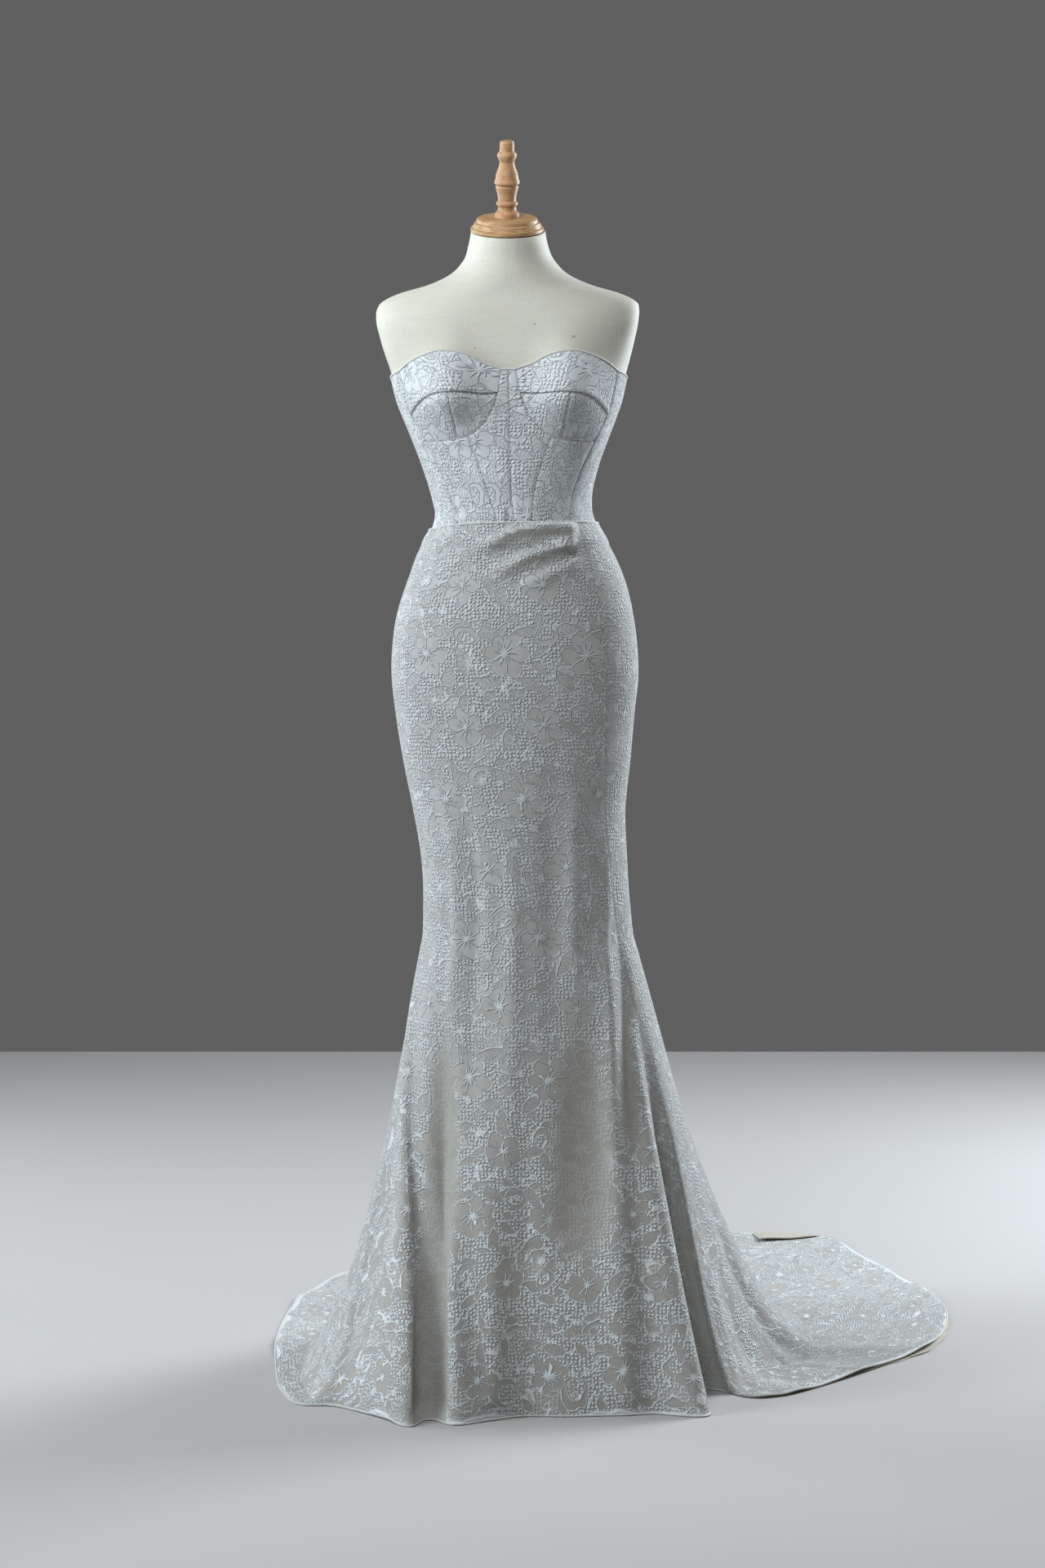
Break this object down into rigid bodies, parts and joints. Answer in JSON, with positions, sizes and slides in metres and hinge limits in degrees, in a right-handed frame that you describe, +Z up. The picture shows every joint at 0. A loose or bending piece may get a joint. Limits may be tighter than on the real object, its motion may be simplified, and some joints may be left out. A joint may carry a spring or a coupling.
{
  "type": "wedding dress on dress form",
  "caption": "Strapless lace wedding dress, fitted to the knee and flared into a train, on a limbless dress form with a wooden neck cap and a pole stand.",
  "frame": {"origin": "on the floor under the middle of the stand's round base, on the pole's axis", "axes": "+Z up, the dress faces -Y, +X towards the wearer's left, which is the side the train spreads to"},
  "size_m": [1.0009, 1.2705, 1.7175],
  "materials": {
    "corded_lace": "corded lace on a matt ground",
    "edging": "narrow woven edging",
    "lining": "cream satin",
    "form_cover": "smooth knitted cover",
    "cap_oak": "satin varnish",
    "finial_beech": "satin varnish",
    "steel": "brushed",
    "base_paint": "satin black"
  },
  "bodies": {
    "gown_and_form": {"bodice_back_centre_left": "corded_lace", "bodice_back_centre_right": "corded_lace", "bodice_back_side_left": "corded_lace", "bodice_back_side_right": "corded_lace", "bodice_front_centre_left": "corded_lace", "bodice_front_centre_right": "corded_lace", "bodice_front_side_left": "corded_lace", "bodice_front_side_right": "corded_lace", "bodice_side_left": "corded_lace", "bodice_side_right": "corded_lace", "cup_inner_left": "corded_lace", "cup_inner_right": "corded_lace", "cup_outer_left": "corded_lace", "cup_outer_right": "corded_lace", "cup_upper_left": "corded_lace", "cup_upper_right": "corded_lace", "form_base": "base_paint", "form_finial": "finial_beech", "form_neck_cap": "cap_oak", "form_pole": "steel", "form_torso": "form_cover", "neckline_edging": "edging", "skirt_back_left": "corded_lace", "skirt_back_right": "corded_lace", "skirt_front": "corded_lace", "skirt_side_left": "corded_lace", "skirt_side_right": "corded_lace", "train_lining": "lining", "train_turnback": "lining", "zip_slider": "steel"},
    "zip_pull_tab": {"zip_pull": "steel"}
  },
  "joints": [
    {"name": "zip_pull_turn", "type": "hinge", "parent": "gown_and_form", "child": "zip_pull_tab", "pos_m": [-0.00312, 0.10097, 1.347], "axis": [1, 0, 0], "range_deg": [0, 160]}
  ]
}
